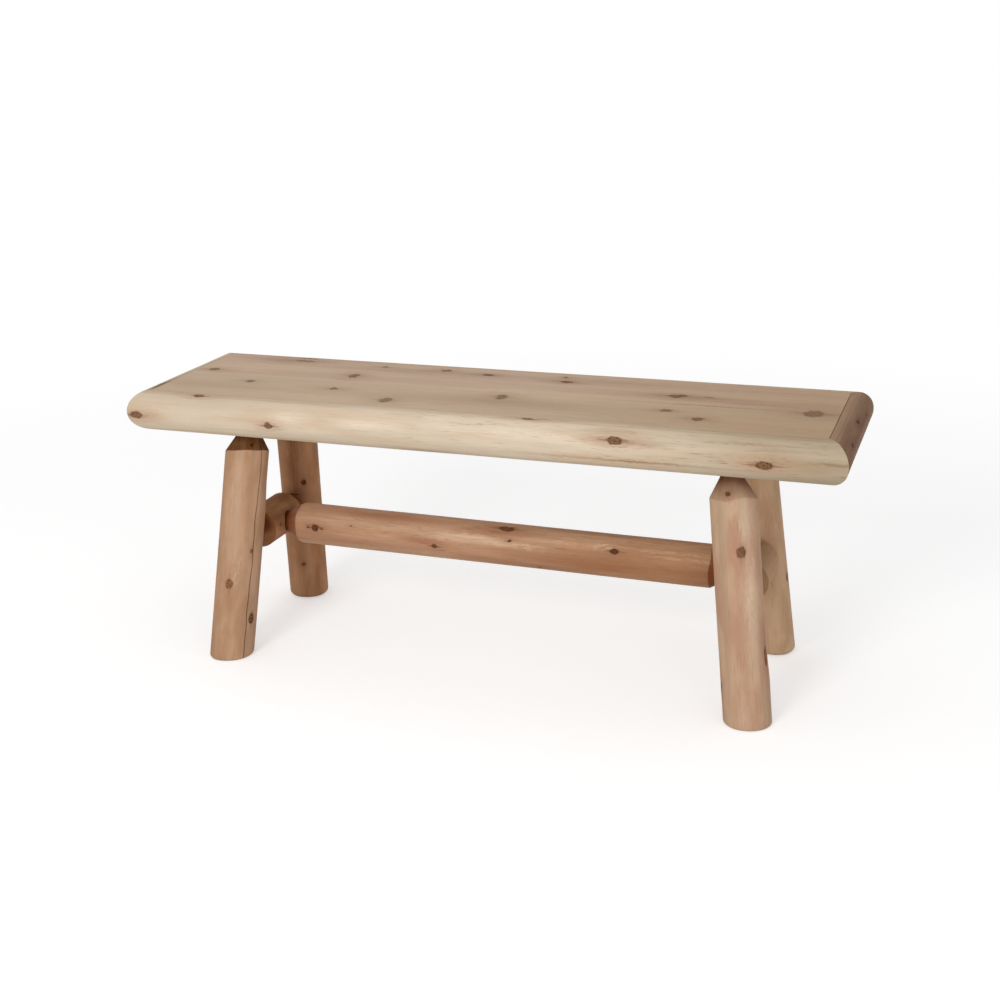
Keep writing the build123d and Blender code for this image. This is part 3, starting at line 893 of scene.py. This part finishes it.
def railLoops(rail, halfLength, axes, centre):
    outward, upward, along = axes
    radius = barkSurface(rail)
    crown, width = bench["railCrown"], bench["railWidth"]
    inner = width - bench["railRadius"]          # the log's middle, out from the sawn inner face
    face = gentleWaves(rail["seed"] + 7, 150, 500, turns=0)
    mitre = bench["jointGap"] / math.sqrt(2)
    loops = []
    for share in np.linspace(-1, 1, int(2 * halfLength / fineness["spacing"])):
        level = share * (halfLength - width / 2)
        top, low = 66.0, -85.0                   # a first guess at both arrises, in degrees
        for step in range(6):                    # they follow the log's own unevenness
            size = float(radius(np.array([top]), np.array([level]))[0])
            top = math.degrees(math.asin(min(crown / size, 0.999)))
            size = float(radius(np.array([low]), np.array([level]))[0])
            low = -math.degrees(math.acos(-inner / size))
        angle = low + (top - low) * np.linspace(0, 1, railMesh["around"]) ** 0.97
        size = radius(angle, np.full(len(angle), level))
        out = inner + size * np.cos(np.radians(angle))
        up = size * np.sin(np.radians(angle))
        sag = 0.2 * float(face(0, level))
        # the arris is eased: the last of the round is drawn in under the corner
        near = smoothStep(crown - railMesh["arrisReach"], crown, up)
        up = up - railMesh["arrisDrop"] * near
        out = out - railMesh["arrisIn"] * near
        edge = out[-1]
        topSpan = np.linspace(edge - 7, 0.5, railMesh["topSteps"])
        topOut = np.concatenate([[edge - 1.2, edge - 2.8, edge - 4.8], topSpan, [0.0]])
        topUp = np.full(len(topOut), crown - sag * 0.3)
        topUp[:3] = [crown - 0.36, crown - 0.12, crown - 0.02]
        topUp[-1] -= 0.3
        innerUp = np.linspace(crown - 0.9, up[0] + 0.5, railMesh["innerSteps"])
        out = np.concatenate([out, topOut, np.zeros(len(innerUp))])
        up = np.concatenate([up, topUp, innerUp])
        end = share * (halfLength - width + out - mitre)
        loops.append(centre + np.outer(out - inner, outward) + np.outer(up, upward) + np.outer(end, along))
    return loops


halfSizes = (bench["halfLength"], bench["halfDepth"])
for name, rail in rails.items():
    outward = np.array(rail["outward"], float)
    lengthwise = outward[0] == 0                 # the front and back rails run along X
    along = xAxis if lengthwise else yAxis
    halfLength, reach = (halfSizes if lengthwise else halfSizes[::-1])
    centre = outward * (reach - bench["railRadius"]) + zAxis * (bench["seatTop"] - bench["railCrown"])
    axes = (outward, zAxis, along)
    piece = skin(name + "_slab", railLoops(rail, halfLength, axes, centre), centre, axes)
    placed = [placeKnots(rail, kind, crown=bench["railCrown"]) for kind in surfaceMarks]
    wood = cedarMaterial(name + "_cedar", rail["look"], *placed, along=along)
    finishPiece(piece, name, wood)
print("rails made")

# Planks: knots are (x, y, half width, half length, strength) on the top face; the largest crosses the joint
plankLook = {
    "patchSize": (26, 26, 1.6), "ringWidth": 0.0034, "ringStrength": 0.022, "heartDrift": 0.01,
    "knotColour": (134, 102, 72), "knotRim": (92, 64, 40), "haloColour": (170, 134, 106),
    "haloStrength": 0.55, "tintColour": (150, 118, 92), "streakStrength": 0.15, "fleckStrength": 0.2,
    "dashStrength": 0.2, "paleAndLitColour": (224, 203, 180), "gloss": 0.05, "knotWobble": 2.5, "knotRed": 0.3,
    "tailStrength": 0.35, "coolShare": 0.35, "fade": (0, 0.62, 0.825, 0.77, 0.69),
}
planks = {
    "front_plank": {
        "side": -1, "seed": 125, "heart": (-34, -78),
        "knots": [(-438.8, -42.8, 8, 8, 0.8), (-271.4, -55.2, 7, 8, 0.85), (-153.2, -101.7, 15, 9, 0.7),
            (27.5, -34.7, 15, 10, 0.75), (308.6, -47.9, 8, 10, 0.75), (367.7, -83.7, 9, 9, 0.9),
            (535, -8.4, 20, 15, 0.7)],
        "tints": [(40, -66, 14, 40, 0.35), (-500, -84, 10, 30, 0.25), (390, -2, 2, 30, 0.7),
            (440, -4, 1.6, 20, 0.5), (555, -2, 12, 12, 0.4)],
        "look": {"pale": (216, 190, 161), "warm": (210, 182, 154), "cool": (203, 181, 157), "seed": 15.3},
    },
    "back_plank": {
        "side": 1, "seed": 136, "heart": (26, -88),
        "knots": [(-546, 21, 9, 9, 0.7), (-410.5, 119.5, 6, 20, 0.55), (-274.4, 36.3, 15, 8, 0.85),
            (-246.3, 112.6, 5, 6, 0.6), (-128.2, 113.7, 7, 9, 0.9), (-45.3, 102.1, 7, 10, 0.95),
            (93.3, 118.1, 5, 6, 0.8), (102.3, 88.4, 7, 10, 0.95), (306.4, 44.4, 11, 14, 0.9),
            (358.9, 46.9, 5, 10, 0.5), (535, -8.4, 20, 15, 0.7)],
        "sheenFlames": [(-30, 8, 1, 26, 0.9), (60, 7, 1, 34, 0.9)],
        "tints": [(-150, 100, 10, 50, 0.4), (344, 41, 4, 24, 0.35), (420, 24, 3, 22, 0.4),
            (130, 104, 9, 50, 0.4), (-440, 114, 12, 20, 0.5)],
        "look": {"pale": (216, 188, 161), "warm": (208, 177, 154), "cool": (204, 179, 156), "seed": 17.1},
    },
}
plankMesh = {"across": 40, "side": 9, "bottom": 30, "stations": 285, "ease": 0.7, "hollow": 0.22,
             "leftGap": 0.1, "rightGap": 0.7}
plankReach = bench["halfLength"] - bench["railWidth"]
plankEnds = (plankMesh["leftGap"] - plankReach, plankReach - plankMesh["rightGap"])
plankWidth = (2 * (bench["halfDepth"] - bench["railWidth"]) - 3 * bench["jointGap"]) / 2


def plankLoops(plank, centreY):
    halfWidth, thick, ease = plankWidth / 2, bench["plankThickness"], plankMesh["ease"]
    waves = gentleWaves(plank["seed"], 120, 620, turns=4)
    # one round of the section: top left to right, down, bottom right to left, up
    flat = np.linspace(-halfWidth + ease, halfWidth - ease, plankMesh["across"])
    across = np.concatenate([[-halfWidth + ease * 0.3], flat, [halfWidth - ease * 0.3]])
    topUp = np.concatenate([[-ease * 0.3], np.zeros(len(flat)), [-ease * 0.3]])
    side = np.linspace(-ease, -thick + 0.6, plankMesh["side"])
    bottom = np.linspace(halfWidth - 0.6, -halfWidth + 0.6, plankMesh["bottom"])
    y = np.concatenate([across, np.full(len(side), halfWidth), bottom, np.full(len(side), -halfWidth)])
    z = np.concatenate([topUp, side, np.full(len(bottom), -thick), side[::-1]])
    top = np.concatenate([np.ones(len(across)), np.zeros(len(y) - len(across))])
    first, last = plankEnds
    stations = np.concatenate([[first, first + 0.35, first + 1.2],
                               np.linspace(first + 4, last - 4, plankMesh["stations"]),
                               [last - 1.2, last - 0.35, last]])
    loops = []
    for x in stations:
        near = ease - min(last - x, x - first, ease)
        drop = ease - math.sqrt(max(ease ** 2 - near ** 2, 0))
        hollow = plankMesh["hollow"] * waves(y * 1.1, np.full(len(y), x)) * top
        up = bench["seatTop"] + z - hollow - drop * top
        loops.append(np.stack([np.full(len(y), x), centreY + y, up], axis=-1))
    return loops


for name, plank in planks.items():
    centreY = plank["side"] * (plankWidth + bench["jointGap"]) / 2
    heartY, heartZ = plank["heart"]
    origin = np.array([0, centreY + heartY, bench["seatTop"] + heartZ])
    axes = (yAxis, zAxis, xAxis)
    piece = skin(name + "_board", plankLoops(plank, centreY), origin, axes)
    placed = [[(((y - origin[1]) * mm, -heartZ * mm, x * mm), halfWidth * mm, halfLength * mm, strength)
               for x, y, halfWidth, halfLength, strength in plank.get(kind, ())] for kind in surfaceMarks]
    wood = cedarMaterial(name + "_cedar", {**plankLook, **plank["look"]}, *placed, along=xAxis)
    finishPiece(piece, name, wood)
print("planks made")


def dressNode(name, material):
    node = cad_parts[name]
    node.data.materials.clear()
    node.data.materials.append(material)


bearerLook = {"pale": (196, 160, 128), "warm": (176, 138, 106)}
for side, sign in (("left", -1), ("right", 1)):
    middle = (sign * bench["headX"] * mm, 0.0, bench["bearerUnderside"] * mm)
    look = {**bearerLook, "seed": 20.0 + sign}
    wood = cedarMaterial(f"{side}_bearer_cedar", look, along=yAxis, sawnFrom=(middle, "XZY"))
    dressNode(f"{side}_bearer", wood)

dowelLook = {"pale": (222, 196, 158), "warm": (206, 176, 136), "ringWidth": 0.0012, "seed": 24.0}
dowelWood = cedarMaterial("dowel_hardwood", dowelLook, sawnFrom=((0.0, 0.0, 0.4), "XZY"))

screwLook = {"colour": (168, 168, 164), "worn": (118, 112, 102), "roughness": 0.38, "grainScale": 900.0}


def steelMaterial(look):
    material, tree = newMaterial("screw_steel")
    inputs = {"Vector": geometry(tree, "Position"), "Scale": look["grainScale"], "Detail": 3.0}
    speckle = joinNode("TexNoise", inputs).outputs[0]
    colour = blended(ranged(speckle, 0.45, 0.7), srgb(*look["colour"]), srgb(*look["worn"]))
    rough = ranged(speckle, 0.2, 0.8, look["roughness"] - 0.1, look["roughness"] + 0.2)
    bump = joinNode("Bump", {"Strength": 0.2, "Distance": 0.0002, "Height": speckle})
    dressShader(tree, colour, rough, bump)["Metallic"].default_value = 1.0
    return material


screwSteel = steelMaterial(screwLook)
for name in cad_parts:
    if name.endswith(("screw", "screws")):
        dressNode(name, screwSteel)
    elif name.endswith("dowels"):
        dressNode(name, dowelWood)
print("bearers, dowels and screws finished")

# The floor fades to white between two distances in metres; the sky is how brightly the world lights the bench
stage = {"floorRadius": 6.0, "floorSides": 96, "floorLevel": -0.0004, "fadeFrom": 1.2, "fadeTo": 2.6,
         "paleness": 0.80, "lift": 0.45, "bounce": 0.74, "sky": 0.57}
white = (1, 1, 1, 1)


def seenDirectly(tree):
    # 1 for what the camera sees, also in glossy and clear surfaces
    seen = addNode(tree, "LightPath").outputs
    mirrored = maths("MAXIMUM", seen["Is Glossy Ray"], seen["Is Transmission Ray"])
    return maths("MAXIMUM", seen["Is Camera Ray"], mirrored)


def makeFloor(look):
    mesh = bpy.data.meshes.new("floor")
    radius, sides = look["floorRadius"], look["floorSides"]
    ring = [(radius * math.cos(turn), radius * math.sin(turn), look["floorLevel"])
            for turn in np.linspace(0, 2 * math.pi, sides, endpoint=False)]
    mesh.from_pydata(ring, [], [tuple(range(sides))])
    material, tree = newMaterial("pale_floor")
    tree.nodes.remove(tree.nodes["Principled BSDF"])

    def diffuse(level):
        return addNode(tree, "BsdfDiffuse", {"Color": (level, level, level, 1)}).outputs[0]

    def glow(strength):
        return addNode(tree, "Emission", {"Color": white, "Strength": strength}).outputs[0]

    def mixed(share, first, second):
        return joinNode("MixShader", {0: share, 1: first, 2: second}).outputs[0]

    away = vectors("LENGTH", geometry(tree, "Position"))
    layers = {0: diffuse(look["paleness"]), 1: glow(look["lift"])}
    seenFloor = joinNode("AddShader", layers).outputs[0]
    nearFar = mixed(ranged(away, look["fadeFrom"], look["fadeTo"]), seenFloor, glow(1.0))
    topSide = mixed(seenDirectly(tree), diffuse(look["bounce"]), nearFar)
    # seen from below the floor is open, so that the underside can be looked at
    clear = addNode(tree, "BsdfTransparent").outputs[0]
    surface = mixed(geometry(tree, "Backfacing"), topSide, clear)
    tree.links.new(surface, tree.nodes["Material Output"].inputs["Surface"])
    mesh.materials.append(material)
    floor = addObject("floor", mesh)


def makeWorld(look):
    world = bpy.data.worlds.new("studio")
    scene.world = world
    world.use_nodes = True
    background = world.node_tree.nodes["Background"].inputs
    background["Color"].default_value = white
    strength = ranged(seenDirectly(world.node_tree), 0.0, 1.0, look["sky"], 1.0, "LINEAR")
    world.node_tree.links.new(strength, background["Strength"])


makeFloor(stage)
makeWorld(stage)

# power in watts, size in metres
lamps = {
    "key": {"place": (-0.55, -3.2, 1.85), "target": (0.0, 0.0, 0.40), "power": 41.0, "size": 1.3},
    "fill": {"place": (1.9, -2.7, 0.3), "target": (0.1, 0.0, 0.35), "power": 18.0, "size": 1.5},
}
for name, lamp in lamps.items():
    light = bpy.data.lights.new(name, "AREA")
    light.shape = "DISK"
    light.size = lamp["size"]
    light.energy = lamp["power"]
    holder = addObject(name, light)
    holder.location = lamp["place"]
    aim = Vector(lamp["target"]) - Vector(lamp["place"])
    holder.rotation_euler = aim.to_track_quat("-Z", "Y").to_euler()

view = {"place": (0.816678, -2.233470, 1.093187), "turn": 0.347560, "tilt": 0.328349, "roll": -0.0238608,
        "lens": 52.3575, "sensor": 36.0}
camera = addObject("camera", bpy.data.cameras.new("camera"))
camera.data.lens = view["lens"]
camera.data.sensor_width = view["sensor"]
camera.matrix_world = (
    Matrix.Translation(view["place"])
    @ Matrix.Rotation(view["turn"], 4, "Z")
    @ Matrix.Rotation(math.pi / 2 - view["tilt"], 4, "X")
    @ Matrix.Rotation(view["roll"], 4, "Z")
)
scene.camera = camera
scene.view_settings.view_transform = "Standard"
print("floor, lamps and camera set")
